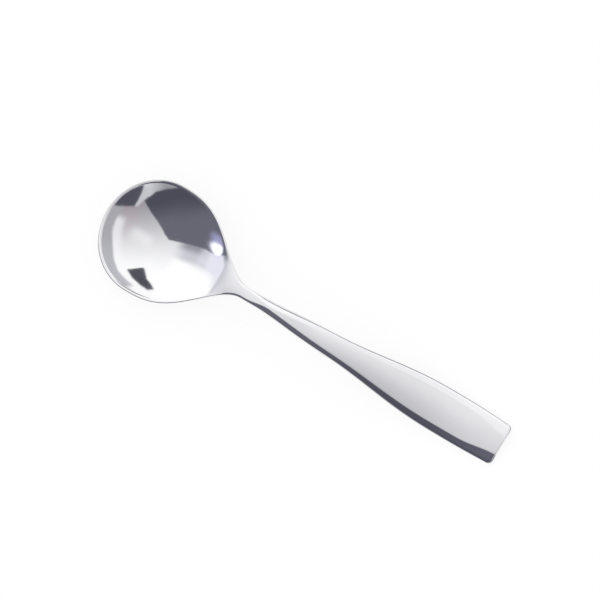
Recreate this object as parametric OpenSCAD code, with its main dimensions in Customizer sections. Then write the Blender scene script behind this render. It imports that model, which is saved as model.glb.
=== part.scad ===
// Round-bowled soup spoon, forged from one blank of stainless steel.
// Millimetres. X runs from the bowl's tip to the end of the handle, Y across, Z up.
// The origin is under the middle of the spoon, on the surface that it lies on.

/* [Overall] */
// Length from the bowl's tip to the end of the handle
spoon_len = 175; // [160:1:195]

/* [Bowl] */
// Widest width of the bowl, over the rim
bowl_w = 45.8; // [38:0.2:52]
// Distance from the tip to the bowl's widest place
bowl_peak_at = 22; // [18:0.2:27]
// Depth of the bowl inside, below the rim
bowl_depth = 9.4; // [7:0.2:14]
// Thickness of the metal at the bottom of the bowl
bowl_wall = 1.4; // [1:0.1:2]
// Where the inside of the bowl has run out into the neck, from the tip
dish_end_at = 58; // [50:0.5:60]
// Width of the polished land on top of the rim
rim_land = 1.1; // [0.8:0.1:1.6]
// How much lower the inner edge of the land is than its outer edge
rim_drop = 0.25; // [0.05:0.05:0.4]
// Radius of the rim's outer edge, which is rounded above and below
rim_edge = 0.5; // [0.3:0.05:0.7]
// How much higher the rim is at the tip than at the sides
tip_lift = 0.4; // [0:0.1:1.5]

/* [Neck] */
// Distance from the tip to the narrowest place of the neck
neck_at = 65; // [60:0.5:70]
// Width of the neck at its narrowest
neck_w = 5.1; // [4.4:0.1:7]
// Thickness of the neck
neck_t = 4.2; // [3:0.1:5]
// How far the top of the neck climbs above the bowl's rim
neck_rise = 7.6; // [5:0.2:11]

/* [Handle] */
// Width of the handle's slender part, between neck and blade
stem_w = 9.2; // [8:0.2:12]
// Widest width of the handle, near its end
blade_w = 17.6; // [14:0.2:22]
// Distance from the handle's end to its widest place
blade_back = 22.5; // [15:0.5:35]
// Width of the handle at its end, before the corners are rounded
end_w = 16.2; // [12:0.2:21]
// Thickness of the handle at its end
end_t = 3.4; // [2.6:0.1:4]
// Radius of the two corners at the end, seen from above
end_corner_r = 1.8; // [1:0.1:4]
// Width of the bevel along each side of the neck, seen from above
neck_bevel = 0.8; // [0.5:0.1:1.2]
// Width of the bevel along each side of the stem
stem_bevel = 2.2; // [1.4:0.1:2.8]
// Width of the bevel along each side of the blade
blade_bevel = 3; // [2:0.1:4]
// Width of the side bevels where they reach the handle's end
end_bevel = 4.3; // [3:0.1:5.5]
// Width of the bevels on the underside
under_bevel = 1.5; // [1:0.1:2]
// Height of the stem's rounded edge, where upper and lower bevels meet
stem_edge_h = 2.3; // [1.6:0.1:2.6]
// Height of the blade's rounded edge
blade_edge_h = 0.8; // [0.6:0.1:1.4]
// How far the edges across the end are rounded
end_round = 0.6; // [0.4:0.1:1.2]
// How much higher the middle of the blade's face would be than its edges without the bevels
face_crown = 0.45; // [0.2:0.05:0.7]
// How much is ground off the underside at the end, to leave a flat that the handle lies on
rest_cut = 0.12; // [0.06:0.02:0.3]

/* [Hidden] */

// Heights and half widths that follow from the sizes above
rim_h = bowl_depth + bowl_wall;
bowl_half = bowl_w / 2;
neck_half = neck_w / 2;
stem_half = stem_w / 2;
blade_half = blade_w / 2;
end_half = end_w / 2;
handle_len = spoon_len - neck_at;

// Places along the handle, as shares of the length from neck to end
rise_to_share = 0.2;
fall_from_share = 0.12;
stem_to_share = 0.39;
blade_from_share = 0.26;
taper_to_share = 1.1;
thin_to_share = 0.5;
// How much fuller than a cosine the outline is between bowl and neck
heel_fullness_share = 1.35;
// Share of the bowl's section that follows the fourth power of the radius
steep_share = 0.08;
// Shares of the way from the widest place to the neck, at which the rim starts to climb and to turn
rise_from_share = 0.18;
turn_from_share = 0.42;
// Shares of the handle's length at which the neck's narrow bevels are full, and widen to the end
bevel_to_share = 0.12;
flare_from_share = 0.85;
// Share of the bevel's width over which the edge beside it is rounded
edge_round_share = 0.4;
// Share of the neck's thickness that its rounded edge takes up
neck_edge_share = 0.8;

// Counts of ribs along the spoon and of points across it
tip_ribs = 18;
heel_ribs = 24;
handle_ribs = 30;
end_ribs = 5;
face_steps = 7;
bevel_steps = 3;
land_steps = 4;
// Short length over which the outline's slope is measured
probe = 0.1;

rise_from = blend(bowl_peak_at, neck_at, rise_from_share);
rise_to = neck_at + rise_to_share * handle_len;
fall_from = neck_at + fall_from_share * handle_len;
stem_to = neck_at + stem_to_share * handle_len;
blade_from = neck_at + blade_from_share * handle_len;
blade_at = spoon_len - blade_back;
taper_to = neck_at + taper_to_share * handle_len;
thin_to = neck_at + thin_to_share * handle_len;
bevel_to = neck_at + bevel_to_share * handle_len;
flare_from = neck_at + flare_from_share * handle_len;
turn_from = blend(bowl_peak_at, neck_at, turn_from_share);
handle_fall = rim_h + neck_rise - end_t + rest_cut;
end_taper = (blade_half - end_half) / ramp(spoon_len, blade_at, taper_to);

// A smooth step from 0 to 1 with no break in its curvature
function ramp(x, x0, x1) =
    let (u = max(0, min(1, (x - x0) / (x1 - x0))))
    u * u * u * (10 + u * (6 * u - 15));

function blend(a, b, share) = a + (b - a) * share;

// How much of a quarter circle's height is left at a share of its radius
function quarter(share) = sqrt(max(0, 1 - share * share));

// Half width of the spoon, seen from above, past the bowl's widest place
function half_width(x) =
    x < neck_at
    ? blend(neck_half, bowl_half,
            (1 + cos(180 * pow((x - bowl_peak_at) / (neck_at - bowl_peak_at), heel_fullness_share))) / 2)
    : neck_half
      + (stem_half - neck_half) * ramp(x, neck_at, stem_to)
      + (blade_half - stem_half) * ramp(x, blade_from, blade_at)
      - end_taper * ramp(x, blade_at, taper_to)
      - end_corner_r * (1 - quarter(max(0, x - (spoon_len - end_corner_r)) / end_corner_r));

// Height of the top of the metal along the spoon: the rim, then the ridge of the handle
function top_line(x) =
    rim_h
    + tip_lift * (1 - ramp(x, 0, bowl_peak_at))
    + neck_rise * ramp(x, rise_from, rise_to)
    - handle_fall * ramp(x, fall_from, spoon_len);

function thickness(x) = blend(neck_t, end_t, ramp(x, neck_at, thin_to));

// 1 over the bowl's deepest place, falling to 0 where the inside runs out into the neck
function keel(x) =
    x < bowl_peak_at ? 1
    : x > dish_end_at ? 0
    : (1 + cos(180 * (x - bowl_peak_at) / (dish_end_at - bowl_peak_at))) / 2;

// Height share inside the bowl: 0 at its deepest place, 1 at the rim
function dish(x, across) =
    let (radius_2 = 1 - keel(x) * (1 - across * across))
    radius_2 * (1 + steep_share * (radius_2 - 1));

// How much longer the outline is than the stretch of middle line beside it
function lean(x) =
    x <= bowl_peak_at ? 1
    : norm([1, (half_width(x + probe) - half_width(x)) / probe]);

// How far the rim's round edge has bent away from the land or the underside
function edge_fall(edge_share, across) =
    rim_edge * (1 - quarter(max(0, across - 1 + edge_share) / edge_share));

// Heights of the two faces at a share of the way across, once as bowl and once as handle
function bowl_top(x, land_share, across) =
    let (inside = 1 - land_share)
    across > inside
    ? top_line(x) - rim_drop * (1 - across) / land_share - edge_fall(land_share * rim_edge / rim_land, across)
    : blend(bowl_wall, top_line(x) - rim_drop, dish(x, across / inside));

function bowl_under(x, edge_share, across) =
    (top_line(x) - 2 * rim_edge) * dish(x, across) + edge_fall(edge_share, across);

// Width of the bevels beside the top face and beside the underside, seen from above
function side_bevel(x) =
    neck_bevel
    + (stem_bevel - neck_bevel) * ramp(x, neck_at, bevel_to)
    + (blade_bevel - stem_bevel) * ramp(x, blade_from, blade_at)
    + (end_bevel - blade_bevel) * ramp(x, flare_from, spoon_len);

function lower_bevel(x) = blend(neck_bevel, under_bevel, ramp(x, neck_at, bevel_to));

// Half the height of the rounded edge where upper and lower bevels meet
function edge_half(x) =
    let (neck_to_stem = blend(neck_t * neck_edge_share, stem_edge_h, ramp(x, neck_at, bevel_to)))
    blend(neck_to_stem, blade_edge_h, ramp(x, bevel_to, blade_at)) / 2;

// Height of the crowned face, whose slope at its edges is the same along the whole handle
function crowned(top, half, across) = top - face_crown * half / blade_half * across * across;

// Height of one face of the handle over its widest line, at a share of the way across.
// The edge is rounded, the bevel climbs evenly, and the face between the bevels is crowned.
function half_section(x, half, bevel, across) =
    let (top = thickness(x) / 2,
         edge = edge_half(x),
         inward = half * (1 - across),
         crease = crowned(top, half, 1 - bevel / half),
         round_edge = edge * quarter(max(0, 1 - inward / (bevel * edge_round_share))),
         flank = round_edge + (crease - edge) * inward / bevel,
         end_flank = blend(edge, top, quarter(max(0, 1 - (spoon_len - x) / end_round))))
    min(flank, crowned(top, half, across), end_flank);

function handle_top(x, half, across) =
    top_line(x) - thickness(x) / 2 + half_section(x, half, side_bevel(x), across);

function handle_under(x, half, across) =
    top_line(x) - thickness(x) / 2 - half_section(x, half, lower_bevel(x), across);

function turned(x) = ramp(x, turn_from, neck_at);

function face_top(x, half, land_share, across) =
    x <= turn_from
    ? bowl_top(x, land_share, across)
    : blend(bowl_top(x, land_share, across), handle_top(x, half, across), turned(x));

// The underside is never lower than the surface that the spoon lies on, so the handle's end has a flat
function face_under(x, half, edge_share, across) =
    x <= turn_from
    ? bowl_under(x, edge_share, across)
    : max(0, blend(bowl_under(x, edge_share, across), handle_under(x, half, across), turned(x)));

// One rib, from the middle of the top face out over the rim and back to the middle of the underside.
// seat is its foot on the spoon's middle line; x and half are its end on the outline.
function rib(seat, x, half) =
    let (reach = norm([x - seat, half]),
         land_share = rim_land * lean(x) / reach,
         edge_share = land_share * rim_edge / rim_land,
         top_steps = steps_out(x, half, side_bevel(x), land_share),
         under_steps = steps_out(x, half, lower_bevel(x), edge_share))
    concat([for (a = top_steps) [blend(seat, x, a), half * a, face_top(x, half, land_share, a)]],
           [for (i = [len(under_steps) - 2:-1:0])
               let (a = under_steps[i])
               [blend(seat, x, a), half * a, face_under(x, half, edge_share, a)]]);

// Shares of the way across at which a rib has its points. Along the handle, one is at the crease
// between face and bevel, and the last few are on the rounded edge.
function steps_out(x, half, bevel, bowl_round_share) =
    let (flat_share = 1 - bowl_round_share,
         even = flat_share * face_steps / (face_steps + bevel_steps),
         crease = x <= turn_from ? even : blend(even, 1 - bevel / half, turned(x)),
         round_share = bevel * edge_round_share / half,
         outer = x <= turn_from ? flat_share : blend(flat_share, 1 - round_share, turned(x)))
    concat([for (i = [0:face_steps]) crease * i / face_steps],
           [for (i = [1:bevel_steps]) blend(crease, outer, i / bevel_steps)],
           [for (i = [1:land_steps]) blend(outer, 1, sin(90 * i / land_steps))]);

function tip_rib(angle) = rib(bowl_peak_at, bowl_peak_at * (1 - cos(angle)), bowl_half * sin(angle));

handle_stop = spoon_len - max(end_corner_r, end_round);
ribs_at = concat(
    [for (i = [1:heel_ribs]) blend(bowl_peak_at, neck_at, i / heel_ribs)],
    [for (i = [1:handle_ribs]) blend(neck_at, handle_stop, i / handle_ribs)],
    [for (i = [1:end_ribs]) blend(handle_stop, spoon_len, sin(90 * i / end_ribs))]);
ribs = concat(
    [for (i = [0:tip_ribs]) tip_rib(90 * i / tip_ribs)],
    [for (x = ribs_at) rib(x, x, half_width(x))]);
last_rib = len(ribs) - 1;
last_point = len(ribs[0]) - 1;
edge_point = last_point / 2;
middles = last_rib - tip_ribs + 1;

// The ribs of the tip share their foot, at the bowl's deepest place, and the two sides share all feet
function vertex(side, rib_no, point_no) =
    let (foot = max(rib_no, tip_ribs) - tip_ribs)
    point_no == 0 ? foot
    : point_no == last_point ? middles + foot
    : 2 * middles + (side == 0 || rib_no == 0 ? rib_no : last_rib + rib_no) * (last_point - 1) + point_no - 1;

// The flat end is filled between the last rib's upper and lower points
function end_vertex(side, point_no) = vertex(side, last_rib, point_no);

function facing(side, face) = side == 0 ? face : [face[2], face[1], face[0]];

spoon_points = concat(
    [for (i = [tip_ribs:last_rib]) ribs[i][0]],
    [for (i = [tip_ribs:last_rib]) ribs[i][last_point]],
    [for (i = [0:last_rib], j = [1:last_point - 1]) ribs[i][j]],
    [for (i = [1:last_rib], j = [1:last_point - 1]) [ribs[i][j][0], -ribs[i][j][1], ribs[i][j][2]]]);

spoon_faces = concat(
    [for (side = [0, 1], i = [0:last_rib - 1], j = [0:last_point - 1])
        if (i >= tip_ribs || j < last_point - 1)
            facing(side, [vertex(side, i, j), vertex(side, i, j + 1), vertex(side, i + 1, j + 1)])],
    [for (side = [0, 1], i = [0:last_rib - 1], j = [0:last_point - 1])
        if (i >= tip_ribs || j > 0)
            facing(side, [vertex(side, i, j), vertex(side, i + 1, j + 1), vertex(side, i + 1, j)])],
    [for (side = [0, 1], j = [0:edge_point - 1])
        facing(side, [end_vertex(side, j), end_vertex(side, j + 1), end_vertex(side, last_point - j)])],
    [for (side = [0, 1], j = [1:edge_point - 1])
        facing(side, [end_vertex(side, j), end_vertex(side, last_point - j),
                      end_vertex(side, last_point - j + 1)])]);

module spoon() {
    color("gainsboro")
        translate([-spoon_len / 2, 0, 0])
            polyhedron(points = spoon_points, faces = spoon_faces, convexity = 6);
}

spoon();
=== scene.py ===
"""Looks of the soup spoon: one blank of polished steel in a plain pale studio.

Metres, in the model's own frame: X from the bowl's tip to the handle's end, Y across, Z up,
with the origin under the middle of the spoon. Lengths along the spoon are measured from the tip.
"""
import math

import bpy
import numpy as np
from mathutils import Matrix, Vector


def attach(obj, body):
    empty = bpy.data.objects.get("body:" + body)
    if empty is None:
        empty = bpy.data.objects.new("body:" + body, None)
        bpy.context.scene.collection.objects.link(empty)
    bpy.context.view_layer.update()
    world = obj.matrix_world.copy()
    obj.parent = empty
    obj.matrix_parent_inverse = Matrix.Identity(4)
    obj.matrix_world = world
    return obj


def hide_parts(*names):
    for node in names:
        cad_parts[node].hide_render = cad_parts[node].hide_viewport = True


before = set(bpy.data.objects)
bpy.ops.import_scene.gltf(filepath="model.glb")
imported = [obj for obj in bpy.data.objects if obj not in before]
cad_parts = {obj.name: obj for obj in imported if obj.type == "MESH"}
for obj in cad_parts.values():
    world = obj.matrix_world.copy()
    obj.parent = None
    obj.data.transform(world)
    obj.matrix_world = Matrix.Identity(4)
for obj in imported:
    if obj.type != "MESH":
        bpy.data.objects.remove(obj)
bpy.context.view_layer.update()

MM = 0.001

# Sizes of the real spoon
SPOON_LEN = 175 * MM
BOWL_W = 45.8 * MM
BOWL_PEAK_AT = 22 * MM
BOWL_DEPTH = 9.4 * MM
BOWL_WALL = 1.4 * MM
DISH_END_AT = 58 * MM
RIM_LAND = 1.1 * MM
RIM_DROP = 0.25 * MM
RIM_EDGE = 0.5 * MM
TIP_LIFT = 0.4 * MM
NECK_AT = 65 * MM
NECK_W = 5.1 * MM
NECK_T = 4.2 * MM
NECK_RISE = 7.6 * MM
STEM_W = 9.2 * MM
BLADE_W = 17.6 * MM
BLADE_BACK = 22.5 * MM
END_W = 16.2 * MM
END_T = 3.4 * MM
END_CORNER_R = 1.8 * MM
NECK_BEVEL = 0.8 * MM
STEM_BEVEL = 2.2 * MM
BLADE_BEVEL = 3.0 * MM
END_BEVEL = 4.3 * MM
UNDER_BEVEL = 1.5 * MM
STEM_EDGE_H = 2.3 * MM
BLADE_EDGE_H = 0.8 * MM
END_ROUND = 0.6 * MM
FACE_CROWN = 0.45 * MM
REST_CUT = 0.12 * MM
# How far the polishing has rounded the crease between face and bevel
CREASE_ROUND = 0.12 * MM

# Places along the handle, as shares of the length from neck to end
RISE_TO_SHARE = 0.2
FALL_FROM_SHARE = 0.12
STEM_TO_SHARE = 0.39
BLADE_FROM_SHARE = 0.26
TAPER_TO_SHARE = 1.1
THIN_TO_SHARE = 0.5
BEVEL_TO_SHARE = 0.12
FLARE_FROM_SHARE = 0.85
# Shape of the outline and of the bowl's section
HEEL_FULLNESS_SHARE = 1.35
STEEP_SHARE = 0.08
RISE_FROM_SHARE = 0.18
TURN_FROM_SHARE = 0.42
EDGE_ROUND_SHARE = 0.4
NECK_EDGE_SHARE = 0.8

# Counts of ribs along the spoon, and of steps on a rib from its middle out to the rim
TIP_RIBS = 64
HEEL_RIBS = 110
HANDLE_RIBS = 170
END_RIBS = 24
FACE_STEPS = 22
CREASE_STEPS = 6
BEVEL_STEPS = 10
LAND_STEPS = 12
# Where the close steps lie: round this place on the bowl, and this far to each side of it or of the crease
BOWL_CLOSE_AT_SHARE = 0.75
BOWL_CLOSE_SHARE = 0.05
BEVEL_CLOSE_SHARE = 0.25
# Step over which the outline's slope is measured
PROBE = 0.1 * MM
# Keeps the crease's rounding above zero at the spoon's edge
LEAST_SHARE = 1e-6


def ramp(x, start, stop):
    """A smooth step from 0 to 1 with no break in its curvature."""
    u = np.clip((x - start) / (stop - start), 0, 1)
    return u * u * u * (10 + u * (6 * u - 15))


def blend(a, b, share):
    return a + (b - a) * share


def quarter(share):
    """How much of a quarter circle's height is left at a share of its radius."""
    return np.sqrt(np.maximum(0, 1 - share * share))


def soft_min(a, b, width):
    """The lower of two heights, rounded over a small width where they cross."""
    near = np.maximum(width - np.abs(a - b), 0) / width
    return np.minimum(a, b) - near * near * width / 4


RIM_H = BOWL_DEPTH + BOWL_WALL
HANDLE_LEN = SPOON_LEN - NECK_AT
RISE_FROM = blend(BOWL_PEAK_AT, NECK_AT, RISE_FROM_SHARE)
TURN_FROM = blend(BOWL_PEAK_AT, NECK_AT, TURN_FROM_SHARE)
RISE_TO = NECK_AT + RISE_TO_SHARE * HANDLE_LEN
FALL_FROM = NECK_AT + FALL_FROM_SHARE * HANDLE_LEN
STEM_TO = NECK_AT + STEM_TO_SHARE * HANDLE_LEN
BLADE_FROM = NECK_AT + BLADE_FROM_SHARE * HANDLE_LEN
BLADE_AT = SPOON_LEN - BLADE_BACK
TAPER_TO = NECK_AT + TAPER_TO_SHARE * HANDLE_LEN
THIN_TO = NECK_AT + THIN_TO_SHARE * HANDLE_LEN
BEVEL_TO = NECK_AT + BEVEL_TO_SHARE * HANDLE_LEN
FLARE_FROM = NECK_AT + FLARE_FROM_SHARE * HANDLE_LEN
HANDLE_FALL = RIM_H + NECK_RISE - END_T + REST_CUT
END_TAPER = (BLADE_W - END_W) / 2 / ramp(SPOON_LEN, BLADE_AT, TAPER_TO)


def half_width(x):
    """Half width of the spoon, seen from above, past the bowl's widest place."""
    along = np.clip((x - BOWL_PEAK_AT) / (NECK_AT - BOWL_PEAK_AT), 0, 1)
    heel = blend(NECK_W / 2, BOWL_W / 2, (1 + np.cos(math.pi * along ** HEEL_FULLNESS_SHARE)) / 2)
    corner = np.maximum(0, x - (SPOON_LEN - END_CORNER_R)) / END_CORNER_R
    handle = (
        NECK_W / 2
        + (STEM_W - NECK_W) / 2 * ramp(x, NECK_AT, STEM_TO)
        + (BLADE_W - STEM_W) / 2 * ramp(x, BLADE_FROM, BLADE_AT)
        - END_TAPER * ramp(x, BLADE_AT, TAPER_TO)
        - END_CORNER_R * (1 - quarter(corner))
    )
    return np.where(x < NECK_AT, heel, handle)


def top_line(x):
    """Height of the top of the metal: the rim, then the ridge of the handle."""
    return (
        RIM_H
        + TIP_LIFT * (1 - ramp(x, 0, BOWL_PEAK_AT))
        + NECK_RISE * ramp(x, RISE_FROM, RISE_TO)
        - HANDLE_FALL * ramp(x, FALL_FROM, SPOON_LEN)
    )


def thickness(x):
    return blend(NECK_T, END_T, ramp(x, NECK_AT, THIN_TO))


def side_bevel(x):
    """Width of the top face's bevel, growing from the neck to the end."""
    return (
        NECK_BEVEL
        + (STEM_BEVEL - NECK_BEVEL) * ramp(x, NECK_AT, BEVEL_TO)
        + (BLADE_BEVEL - STEM_BEVEL) * ramp(x, BLADE_FROM, BLADE_AT)
        + (END_BEVEL - BLADE_BEVEL) * ramp(x, FLARE_FROM, SPOON_LEN)
    )


def under_bevel(x):
    return blend(NECK_BEVEL, UNDER_BEVEL, ramp(x, NECK_AT, BEVEL_TO))


def edge_half(x):
    """Half the height of the rounded edge where upper and lower bevels meet."""
    neck_to_stem = blend(NECK_T * NECK_EDGE_SHARE, STEM_EDGE_H, ramp(x, NECK_AT, BEVEL_TO))
    return blend(neck_to_stem, BLADE_EDGE_H, ramp(x, BEVEL_TO, BLADE_AT)) / 2


def turned(x):
    """0 on the bowl, 1 from the neck on."""
    return ramp(x, TURN_FROM, NECK_AT)


def dish(x, across):
    """Height share inside the bowl: 0 at its deepest place, 1 at the rim."""
    along = np.clip((x - BOWL_PEAK_AT) / (DISH_END_AT - BOWL_PEAK_AT), 0, 1)
    keel = (1 + np.cos(math.pi * along)) / 2
    radius_2 = 1 - keel * (1 - across * across)
    return radius_2 * (1 + STEEP_SHARE * (radius_2 - 1))


def bowl_top(x, land_share, across):
    inside = 1 - land_share
    edge_share = land_share * RIM_EDGE / RIM_LAND
    land = (
        top_line(x)
        - RIM_DROP * (1 - across) / land_share
        - RIM_EDGE * (1 - quarter(np.maximum(0, across - 1 + edge_share) / edge_share))
    )
    hollow = blend(BOWL_WALL, top_line(x) - RIM_DROP, dish(x, np.minimum(across / inside, 1)))
    return np.where(across > inside, land, hollow)


def bowl_under(x, edge_share, across):
    on_edge = np.maximum(0, across - 1 + edge_share) / edge_share
    return (top_line(x) - 2 * RIM_EDGE) * dish(x, across) + RIM_EDGE * (1 - quarter(on_edge))


def half_section(x, half, bevel, across):
    """Height of one face of the handle over its widest line: crowned face, bevel, rounded edge."""
    top = thickness(x) / 2
    edge = edge_half(x)
    inward = half * (1 - across)
    crown = FACE_CROWN * half / (BLADE_W / 2)
    crease = top - crown * (1 - bevel / half) ** 2
    round_edge = edge * quarter(np.maximum(0, 1 - inward / (bevel * EDGE_ROUND_SHARE)))
    flank = round_edge + (crease - edge) * inward / bevel
    face = top - crown * across * across
    end_flank = blend(edge, top, quarter(np.maximum(0, 1 - (SPOON_LEN - x) / END_ROUND)))
    width = CREASE_ROUND * np.clip(inward / bevel, LEAST_SHARE, 1)
    return np.minimum(soft_min(flank, face, width), end_flank)


def face_top(x, half, land_share, across):
    handle = top_line(x) - thickness(x) / 2 + half_section(x, half, side_bevel(x), across)
    return blend(bowl_top(x, land_share, across), handle, turned(x))


def face_under(x, half, edge_share, across):
    handle = top_line(x) - thickness(x) / 2 - half_section(x, half, under_bevel(x), across)
    return np.maximum(0, blend(bowl_under(x, edge_share, across), handle, turned(x)))


def steps_out(x, half, bevel, bowl_round_share):
    """Shares of the way across at which a rib has its points, close together at the crease."""
    flat_share = 1 - bowl_round_share
    crease = blend(flat_share * BOWL_CLOSE_AT_SHARE, 1 - bevel / half, turned(x))
    outer = blend(flat_share, 1 - bevel * EDGE_ROUND_SHARE / half, turned(x))
    near = blend(flat_share * BOWL_CLOSE_SHARE, BEVEL_CLOSE_SHARE * bevel / half, turned(x))
    parts = [
        np.linspace(0, crease - near, FACE_STEPS + 1),
        np.linspace(crease - near, crease + near, CREASE_STEPS + 1)[1:],
        np.linspace(crease + near, outer, BEVEL_STEPS + 1)[1:],
        blend(outer, 1, np.sin(np.linspace(0, math.pi / 2, LAND_STEPS + 1)))[1:],
    ]
    return np.concatenate(parts)


def rib(seat, x, half):
    """Points from the middle of the top face out over the rim and back under to the middle."""
    reach = math.hypot(x - seat, half)
    slope = 0 if x <= BOWL_PEAK_AT else float(half_width(x + PROBE) - half_width(x)) / PROBE
    land_share = RIM_LAND * math.hypot(1, slope) / reach
    edge_share = land_share * RIM_EDGE / RIM_LAND
    safe_half = max(half, NECK_BEVEL)
    out = steps_out(x, safe_half, side_bevel(x), land_share)
    back = steps_out(x, safe_half, under_bevel(x), edge_share)[-2::-1]
    top = face_top(x, safe_half, land_share, out)
    under = face_under(x, safe_half, edge_share, back)
    across = np.concatenate([out, back])
    return np.column_stack([blend(seat, x, across), half * across, np.concatenate([top, under])])


def spoon_ribs():
    """Ribs that fan out round the bowl's widest place, and then cross the spoon up to its end."""
    angles = np.linspace(0, math.pi / 2, TIP_RIBS + 1)
    ribs = [rib(BOWL_PEAK_AT, BOWL_PEAK_AT * (1 - math.cos(a)), BOWL_W / 2 * math.sin(a)) for a in angles]
    stop = SPOON_LEN - END_CORNER_R
    places = np.concatenate([
        np.linspace(BOWL_PEAK_AT, NECK_AT, HEEL_RIBS + 1)[1:],
        np.linspace(NECK_AT, stop, HANDLE_RIBS + 1)[1:],
        blend(stop, SPOON_LEN, np.sin(np.linspace(0, math.pi / 2, END_RIBS + 1)))[1:],
    ])
    return ribs + [rib(x, x, float(half_width(x))) for x in places]


def spoon_mesh():
    """The ribs of both sides, joined into one closed smooth skin."""
    ribs = spoon_ribs()
    last_rib = len(ribs) - 1
    last_point = len(ribs[0]) - 1
    points = []
    index = {}

    def vertex(side, rib_no, point_no):
        """Number of a point of the skin, made when first asked for. The middle line is shared."""
        on_middle = point_no in (0, last_point)
        key_side = 0 if on_middle or rib_no == 0 else side
        key_rib = max(rib_no, TIP_RIBS) if on_middle else rib_no
        key = (key_side, key_rib, point_no)
        if key not in index:
            x, y, z = ribs[key_rib][point_no]
            index[key] = len(points)
            points.append((x - SPOON_LEN / 2, -y if key_side else y, z))
        return index[key]

    faces = []

    def add_face(side, corners):
        """One face that looks outwards, without the corners that fall together."""
        loop = list(dict.fromkeys(vertex(side, rib_no, point_no) for rib_no, point_no in corners))
        faces.append(loop[::-1] if side == 0 else loop)

    for side in (0, 1):
        for i in range(last_rib):
            for j in range(last_point):
                add_face(side, [(i, j), (i, j + 1), (i + 1, j + 1), (i + 1, j)])
        for j in range(last_point // 2):
            k = last_point - j
            add_face(side, [(last_rib, j), (last_rib, j + 1), (last_rib, k - 1), (last_rib, k)])
    mesh = bpy.data.meshes.new("spoon_body")
    mesh.from_pydata(points, [], faces)
    mesh.validate()
    mesh.polygons.foreach_set("use_smooth", [True] * len(mesh.polygons))
    mesh.update()
    return mesh


class Nodes:
    """Short calls for making and linking shader nodes."""

    # Places of a colour mix node's two colours among its inputs, and of its result
    FIRST = 6
    SECOND = 7
    RESULT = 2

    def __init__(self, tree):
        self.tree = tree
        tree.nodes.clear()

    def add(self, kind, inputs=(), **settings):
        """A new node with its settings, and with a value or a link on each input that is given."""
        node = self.tree.nodes.new(kind)
        for name, value in settings.items():
            setattr(node, name, value)
        for socket, value in dict(inputs).items():
            self.put(node.inputs[socket], value)
        return node

    def put(self, socket, value):
        if isinstance(value, bpy.types.NodeSocket):
            self.tree.links.new(value, socket)
        else:
            socket.default_value = value

    def math(self, operation, a, b=0.0):
        return self.add("ShaderNodeMath", {0: a, 1: b}, operation=operation).outputs[0]

    def smooth(self, value, low, high):
        """0 below low, 1 above high, smooth between."""
        node = self.add("ShaderNodeMapRange", {"Value": value, "From Min": low, "From Max": high},
                        interpolation_type="SMOOTHSTEP")
        return node.outputs["Result"]

    def mix(self, share, a, b, how="MIX"):
        """From the first colour to the second one as the share goes from 0 to 1."""
        node = self.add("ShaderNodeMix", data_type="RGBA", blend_type=how)
        self.put(node.inputs["Factor"], share)
        self.put(node.inputs[self.FIRST], a)
        self.put(node.inputs[self.SECOND], b)
        return node.outputs[self.RESULT]


WHITE = (1, 1, 1, 1)

# The steel's noises: polishing lines that run lengthwise, wide clouds, and fine grain
LINE_STRETCH = (60, 2600, 2600)
LINE_NOISE = {"Scale": 1.0, "Detail": 4.0}
CLOUD_NOISE = {"Scale": 90.0, "Detail": 3.0}
GRAIN_NOISE = {"Scale": 5200.0, "Detail": 2.0}
# Roughness without them, and what the lines and the clouds add to it
ROUGH_BASE = 0.035
ROUGH_BY_LINES = 0.04
ROUGH_BY_CLOUDS = 0.05
STEEL_DARK = (0.80, 0.80, 0.815, 1)
STEEL_PALE = (0.845, 0.845, 0.85, 1)
# Lines and grain share one bump, which lies on the clouds' long waves
LINE_BUMP_SHARE = 0.5
GRAIN_BUMP_SHARE = 0.5
BUMP_DEPTH = 0.02 * MM
BUMP_STRENGTH = 0.02
WAVE_DEPTH = 0.04 * MM


def steel_material():
    """Polished stainless steel with the faint lines that polishing and use leave."""
    material = bpy.data.materials.new("polished_steel")
    material.use_nodes = True
    n = Nodes(material.node_tree)
    place = n.add("ShaderNodeTexCoord").outputs["Object"]
    lengthwise = n.add("ShaderNodeMapping", {"Vector": place, "Scale": LINE_STRETCH}).outputs[0]
    lines = n.add("ShaderNodeTexNoise", {"Vector": lengthwise, **LINE_NOISE}).outputs["Fac"]
    clouds = n.add("ShaderNodeTexNoise", {"Vector": place, **CLOUD_NOISE}).outputs["Fac"]
    grain = n.add("ShaderNodeTexNoise", {"Vector": place, **GRAIN_NOISE}).outputs["Fac"]
    lined = n.math("MULTIPLY", lines, ROUGH_BY_LINES)
    cloudy = n.math("MULTIPLY", clouds, ROUGH_BY_CLOUDS)
    roughness = n.math("ADD", n.math("ADD", lined, cloudy), ROUGH_BASE)
    colour = n.mix(clouds, STEEL_DARK, STEEL_PALE)
    line_height = n.math("MULTIPLY", lines, LINE_BUMP_SHARE)
    height = n.math("ADD", line_height, n.math("MULTIPLY", grain, GRAIN_BUMP_SHARE))
    waves = n.add("ShaderNodeBump", {"Height": clouds, "Strength": 1.0, "Distance": WAVE_DEPTH}).outputs[0]
    bump = n.add("ShaderNodeBump", {"Height": height, "Strength": BUMP_STRENGTH, "Distance": BUMP_DEPTH,
                                    "Normal": waves}).outputs[0]
    shader = n.add("ShaderNodeBsdfPrincipled", {"Base Color": colour, "Roughness": roughness,
                                                "Normal": bump, "Metallic": 1.0})
    out = n.add("ShaderNodeOutputMaterial")
    n.put(out.inputs["Surface"], shader.outputs[0])
    return material


SCREEN_WHITE = 255
SCREEN_GAMMA = 2.2


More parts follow.
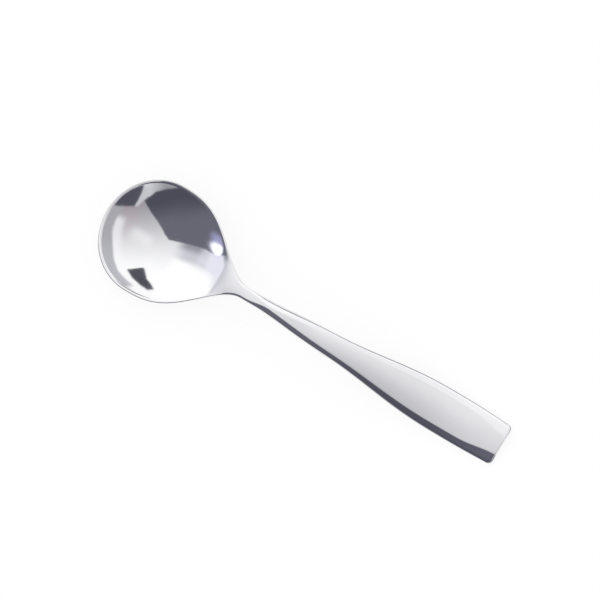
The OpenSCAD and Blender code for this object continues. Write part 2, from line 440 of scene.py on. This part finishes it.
def grey(level, red=0, blue=0):
    """A light's colour from the level, 0 to 255, at which it shows on a screen."""
    levels = [min(SCREEN_WHITE, max(0, level + shift)) for shift in (red, 0, blue)]
    return tuple((shown / SCREEN_WHITE) ** SCREEN_GAMMA for shown in levels) + (1,)


# What the metal mirrors. A place in the sky is (sx, sy): straight up is (0, 0), the horizon is 1 away from
# it, sx runs along the spoon and sy across it. A shape is its corners, which run anticlockwise and bulge
# outwards, and the width over which its edge fades.
TENT = ([(0.53, -0.4), (0.56, 0.05), (0.52, 0.2), (0.4, 0.38), (0.24, 0.55), (0.07, 0.655),
         (-0.2, 0.71), (-0.9, 0.71), (-0.9, -0.4)], 0.035)
TENT_TO_HEM = ([(0.4, -0.4), (0.46, 0.05), (0.42, 0.15), (0.32, 0.32), (0.18, 0.47), (0.02, 0.56),
                (-0.2, 0.62), (-0.9, 0.62), (-0.9, -0.4)], 0.13)
PALE_BLUE = ([(-0.95, 0.02), (-0.95, -0.3), (-0.67, -0.3), (-0.67, 0.02)], 0.14)
WEDGE = ([(0.335, -0.44), (-0.25, -0.88), (0.45, -0.88), (0.45, -0.44)], 0.04)
STREAK = ([(0.395, -0.265), (0.355, -0.34), (0.3, -0.47), (0.3, -0.6), (0.45, -0.6), (0.45, -0.3)], 0.02)
DARK_SIDE = ([(0.4, -0.28), (0.398, -0.37), (0.372, -0.54), (0.345, -0.7), (0.6, -1.2), (1, -0.8),
              (1, -0.1), (0.64, -0.15), (0.5, -0.22)], 0.025)
CAMERA_SIDE = ([(-0.231, -0.085), (-1, -0.31), (-1.3, -0.9), (-0.6, -1.07), (-0.17, -0.84),
                (0.068, -0.71), (0.207, -0.605), (0.322, -0.41), (0.158, -0.285), (-0.053, -0.178)], 0.016)
DARK_FOOT = ([(-0.44, 0.545), (-0.27, 0.495), (-0.17, 0.615), (-0.295, 0.645), (-0.39, 0.618)], 0.02)
DARK_STAND = ([(-0.29, 0.5), (-0.196, 0.405), (-0.006, 0.557), (-0.2, 0.625)], 0.02)
# A round shape is its middle, its radius and the width over which its edge fades
BLUE_GLOW = (-0.74, -0.4, 0.05, 0.1)
LAMP_RING = (-0.765, -0.295, 0.08, 0.05)
LAMP = (-0.765, -0.295, 0.062, 0.03)
# A flat face shows the middle of this one to the camera, and only steep metal, as at the rim, shows what
# lies past it
NEAR_FLAT = (-0.11, -0.015, 0.835, 0.05)
# A fade grows in the direction of its first two values, from 0 at the third to 1 at the fourth
TENT_FADE = (-0.515, 0.857, -0.62, 0.6)
PAST_BOWL_FADE = (-1, 0, 0.36, 0.48)
FAR_HALF_FADE = (0, 1, 0, 0.09)
SOFT_LAMP_ALONG = [(1, 0, -0.12, 0.04), (-1, 0, -0.36, -0.22)]
SOFT_LAMP_ACROSS = [(0, 1, -0.08, 0.06), (0, -1, -0.24, -0.05)]
RIM_FADE = (0.4, 0.9, 0.2, 0.5)
BAND_STOP_FADE = (1, 0, -0.74, -0.64)
# A band has one fade at its start and one across its edge
PALE_BAND_FADES = [(-1, 0, 0.33, 0.55), (-0.283, 0.959, 0.225, 0.14)]
DARK_BAND_FADES = [(-1, 0, 0.34, 0.5), (-0.283, 0.959, 0.11, 0)]
CAMERA_SIDE_FADE = (-0.5, 0.7, -0.42, -0.08)
# A range goes from 0 to 1: the first three are of sx, the next three of sy, and the last two of Y and of Z
TENT_LEFT_RANGE = (0.2, 0.4)
ROOM_FROM_RANGE = (-0.28, -0.24)
WEDGE_RANGE = (0.02, 0.4)
ROOM_RANGE = (0.2, 0.7)
HEM_RANGE = (0.1, 0.6)
HEM_FROM_RANGE = (-0.1, 0.04)
UNDER_RANGE = (-0.9, 0.9)
HORIZON_RANGE = (-0.15, -0.05)
# Tones. A pair is blended from the first to the second
TENT_TONES = (grey(148, 0, 7), grey(142, 9, 8))
TENT_FULL_TONE = grey(255)
SOFT_LAMP_TONE = grey(253)
ROOM_TONES = (grey(165, 0, 5), grey(183, 0, 6))
HEM_TONES = (grey(225, 0, 4), grey(250))
RIM_TONE = grey(95, 0, 9)
PALE_BAND_TONE = grey(200, 0, 8)
DARK_BAND_TONE = grey(148, 0, 10)
PALE_BLUE_TONE = grey(228, 0, 12)
WEDGE_TONES = (grey(148, 0, 6), grey(208, 0, 6))
STREAK_TONE = grey(195, 0, 6)
DARK_SIDE_TONE = grey(80, 0, 11)
CAMERA_SIDE_TONES = (grey(76, 0, 11), grey(102, 0, 11))
DARK_FOOT_TONE = grey(76, 0, 10)
DARK_STAND_TONE = grey(80, 0, 9)
BLUE_GLOW_TONE = grey(158, 0, 36)
LAMP_RING_TONE = grey(208, 0, 28)
LAMP_TONE = (1.4, 1.4, 1.45, 1)
UNDER_TONES = (grey(110, 0, 6), grey(245))
SOFT_LAMP_SHARE = 0.4
# The tones are those on the metal, which returns this share of the light
STEEL_REFLECTS = 0.82
STUDIO_BOOST = (1 / STEEL_REFLECTS, 1 / STEEL_REFLECTS, 1 / STEEL_REFLECTS, 1)
# Added to Z, a little over 1 so that nothing is divided by zero straight down
ABOVE_ONE = 1.0001


def studio_world():
    """White to the camera and as plain light, and to the metal a tent with dark gaps."""
    world = bpy.data.worlds.new("studio")
    bpy.context.scene.world = world
    world.use_nodes = True
    n = Nodes(world.node_tree)
    direction = n.add("ShaderNodeTexCoord").outputs["Generated"]
    parts = n.add("ShaderNodeSeparateXYZ", {0: direction})
    below = n.math("ADD", parts.outputs["Z"], ABOVE_ONE)
    sx = n.math("DIVIDE", parts.outputs["X"], below)
    sy = n.math("DIVIDE", parts.outputs["Y"], below)

    def both(a, b):
        return n.math("MULTIPLY", a, b)

    def outside(cover):
        return n.math("SUBTRACT", 1, cover)

    def inside(corners, soft):
        """1 inside a shape and 0 outside."""
        cover = None
        for k, (x0, y0) in enumerate(corners):
            x1, y1 = corners[(k + 1) % len(corners)]
            length = math.hypot(x1 - x0, y1 - y0)
            nx = -(y1 - y0) / length
            ny = (x1 - x0) / length
            off = n.math("ADD", n.math("MULTIPLY", sx, nx), n.math("MULTIPLY", sy, ny))
            line = nx * x0 + ny * y0
            edge = n.smooth(off, line - soft / 2, line + soft / 2)
            cover = edge if cover is None else both(cover, edge)
        return cover

    def disc(x, y, radius, soft):
        """1 inside a round shape and 0 outside."""
        dx = n.math("SUBTRACT", sx, x)
        dy = n.math("SUBTRACT", sy, y)
        away = n.math("SQRT", n.math("ADD", n.math("MULTIPLY", dx, dx), n.math("MULTIPLY", dy, dy)))
        return n.smooth(away, radius + soft / 2, radius - soft / 2)

    def fade(x_share, y_share, low, high):
        """0 to 1 across the sky."""
        place = n.math("ADD", n.math("MULTIPLY", sx, x_share), n.math("MULTIPLY", sy, y_share))
        return n.smooth(place, low, high)

    # The tent's light grows towards the far side of the spoon, and is full past the bowl
    tent_shade = n.mix(n.smooth(sx, *TENT_LEFT_RANGE), *TENT_TONES)
    view = n.mix(fade(*TENT_FADE), tent_shade, TENT_FULL_TONE)
    view = n.mix(both(fade(*PAST_BOWL_FADE), fade(*FAR_HALF_FADE)), view, TENT_FULL_TONE)
    # A soft lamp over the handle, which brightens the far half of its face
    soft_lamp = both(both(*[fade(*side) for side in SOFT_LAMP_ALONG]),
                     both(*[fade(*side) for side in SOFT_LAMP_ACROSS]))
    view = n.mix(both(soft_lamp, SOFT_LAMP_SHARE), view, SOFT_LAMP_TONE)
    # Towards the tent's edge a pale hem, and past it the grey room
    hem_here = both(n.smooth(sy, *HEM_FROM_RANGE), outside(inside(*TENT_TO_HEM)))
    view = n.mix(hem_here, view, n.mix(n.smooth(sy, *HEM_RANGE), *HEM_TONES))
    room_here = both(outside(inside(*TENT)), n.smooth(sx, *ROOM_FROM_RANGE))
    view = n.mix(room_here, view, n.mix(n.smooth(sy, *ROOM_RANGE), *ROOM_TONES))
    # What the far rim's outer edge mirrors, which gives it a dark outline
    view = n.mix(both(outside(disc(*NEAR_FLAT)), fade(*RIM_FADE)), view, RIM_TONE)
    # The dark camera side, the shade beside it, and what stands around
    band_stop = fade(*BAND_STOP_FADE)
    pale_band, dark_band = [
        both(both(band_stop, fade(*start)), fade(*edge))
        for start, edge in (PALE_BAND_FADES, DARK_BAND_FADES)
    ]
    layers = [
        (pale_band, PALE_BAND_TONE),
        (dark_band, DARK_BAND_TONE),
        (inside(*PALE_BLUE), PALE_BLUE_TONE),
        (inside(*WEDGE), n.mix(n.smooth(sx, *WEDGE_RANGE), *WEDGE_TONES)),
        (inside(*STREAK), STREAK_TONE),
        (inside(*DARK_SIDE), DARK_SIDE_TONE),
        (inside(*CAMERA_SIDE), n.mix(fade(*CAMERA_SIDE_FADE), *CAMERA_SIDE_TONES)),
        (inside(*DARK_FOOT), DARK_FOOT_TONE),
        (inside(*DARK_STAND), DARK_STAND_TONE),
        (disc(*BLUE_GLOW), BLUE_GLOW_TONE),
        (disc(*LAMP_RING), LAMP_RING_TONE),
        (disc(*LAMP), LAMP_TONE),
    ]
    for cover, tone in layers:
        view = n.mix(cover, view, tone)
    # Below the horizon the floor hides all this, so a plain fade does for a look from under the spoon
    under_sky = n.mix(n.smooth(parts.outputs["Y"], *UNDER_RANGE), *UNDER_TONES)
    view = n.mix(n.smooth(parts.outputs["Z"], *HORIZON_RANGE), under_sky, view)
    brighter = n.mix(1.0, view, STUDIO_BOOST, "MULTIPLY")
    path = n.add("ShaderNodeLightPath")
    seen = n.mix(path.outputs["Is Glossy Ray"], WHITE, brighter)
    background = n.add("ShaderNodeBackground", {"Color": seen, "Strength": 1.0})
    out = n.add("ShaderNodeOutputWorld")
    n.put(out.inputs["Surface"], background.outputs[0])


# The floor lies just under the spoon, so that the two never share a plane
FLOOR_HALF = 600 * MM
FLOOR_Z = -0.02 * MM
FLOOR_COLOUR = (0.85, 0.85, 0.85, 1)
# How bright the floor shows itself to the rays that see it, and how much that hides of its shadow
FLOOR_GLOW = 1.06
FLOOR_GLOW_SHARE = 0.75


def pale_floor():
    """A plain floor, white to the rays that see it, apart from the spoon's shadow."""
    mesh = bpy.data.meshes.new("floor")
    signs = [(-1, -1), (1, -1), (1, 1), (-1, 1)]
    corners = [(x_sign * FLOOR_HALF, y_sign * FLOOR_HALF, FLOOR_Z) for x_sign, y_sign in signs]
    mesh.from_pydata(corners, [], [(0, 1, 2, 3)])
    floor = bpy.data.objects.new("floor", mesh)
    bpy.context.collection.objects.link(floor)
    material = bpy.data.materials.new("pale_floor")
    material.use_nodes = True
    n = Nodes(material.node_tree)
    path = n.add("ShaderNodeLightPath")
    straight = n.math("MAXIMUM", path.outputs["Is Camera Ray"], path.outputs["Is Transmission Ray"])
    seen = n.math("MAXIMUM", straight, path.outputs["Is Glossy Ray"])
    shadowed = n.add("ShaderNodeBsdfDiffuse", {"Color": FLOOR_COLOUR})
    white = n.add("ShaderNodeEmission", {"Color": WHITE, "Strength": FLOOR_GLOW})
    mixed = n.add("ShaderNodeMixShader", {0: n.math("MULTIPLY", seen, FLOOR_GLOW_SHARE)})
    n.put(mixed.inputs[1], shadowed.outputs[0])
    n.put(mixed.inputs[2], white.outputs[0])
    out = n.add("ShaderNodeOutputMaterial")
    n.put(out.inputs["Surface"], mixed.outputs[0])
    mesh.materials.append(material)


# The photograph is 600 by 600 pixels, and the model's origin shows at this pixel
PHOTO = 600
ORIGIN_AT = (303.4, 327.0)
PIXELS_PER_MM = 2.641
# Where the camera stands, as fitted to the spoon's outline. Its distance is assumed
CAMERA_AWAY = 700 * MM
ROLL = math.radians(31.0)
TILT_X = math.radians(-1.7)
TILT_Y = math.radians(12.7)
# Blender's usual sensor width, which it gives in millimetres
SENSOR = 36.0
CLIP_START = 10 * MM


def photo_camera():
    """The photo's camera, which looks down on the spoon from its distance, tilted and rolled."""
    cos_x = math.cos(TILT_X)
    sin_x = math.sin(TILT_X)
    cos_y = math.cos(TILT_Y)
    sin_y = math.sin(TILT_Y)
    right_0 = Vector((cos_y, sin_x * sin_y, -cos_x * sin_y))
    up_0 = Vector((0, cos_x, sin_x))
    back = Vector((sin_y, -sin_x * cos_y, cos_x * cos_y))
    right = right_0 * math.cos(ROLL) + up_0 * math.sin(ROLL)
    up = up_0 * math.cos(ROLL) - right_0 * math.sin(ROLL)
    data = bpy.data.cameras.new("camera")
    camera = bpy.data.objects.new("camera", data)
    bpy.context.collection.objects.link(camera)
    turn = Matrix((right, up, back)).transposed().to_4x4()
    camera.matrix_world = Matrix.Translation(back * CAMERA_AWAY) @ turn
    frame_width = PHOTO / PIXELS_PER_MM * MM
    data.sensor_width = SENSOR
    data.lens = SENSOR * CAMERA_AWAY / frame_width
    data.shift_x = (PHOTO / 2 - ORIGIN_AT[0]) / PHOTO
    data.shift_y = (ORIGIN_AT[1] - PHOTO / 2) / PHOTO
    data.clip_start = CLIP_START
    bpy.context.scene.camera = camera


photo_camera()
spoon = bpy.data.objects.new("spoon_body", spoon_mesh())
bpy.context.collection.objects.link(spoon)
spoon.data.materials.append(steel_material())
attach(spoon, "root")
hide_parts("spoon")
pale_floor()
studio_world()
bpy.context.scene.view_settings.view_transform = "Standard"
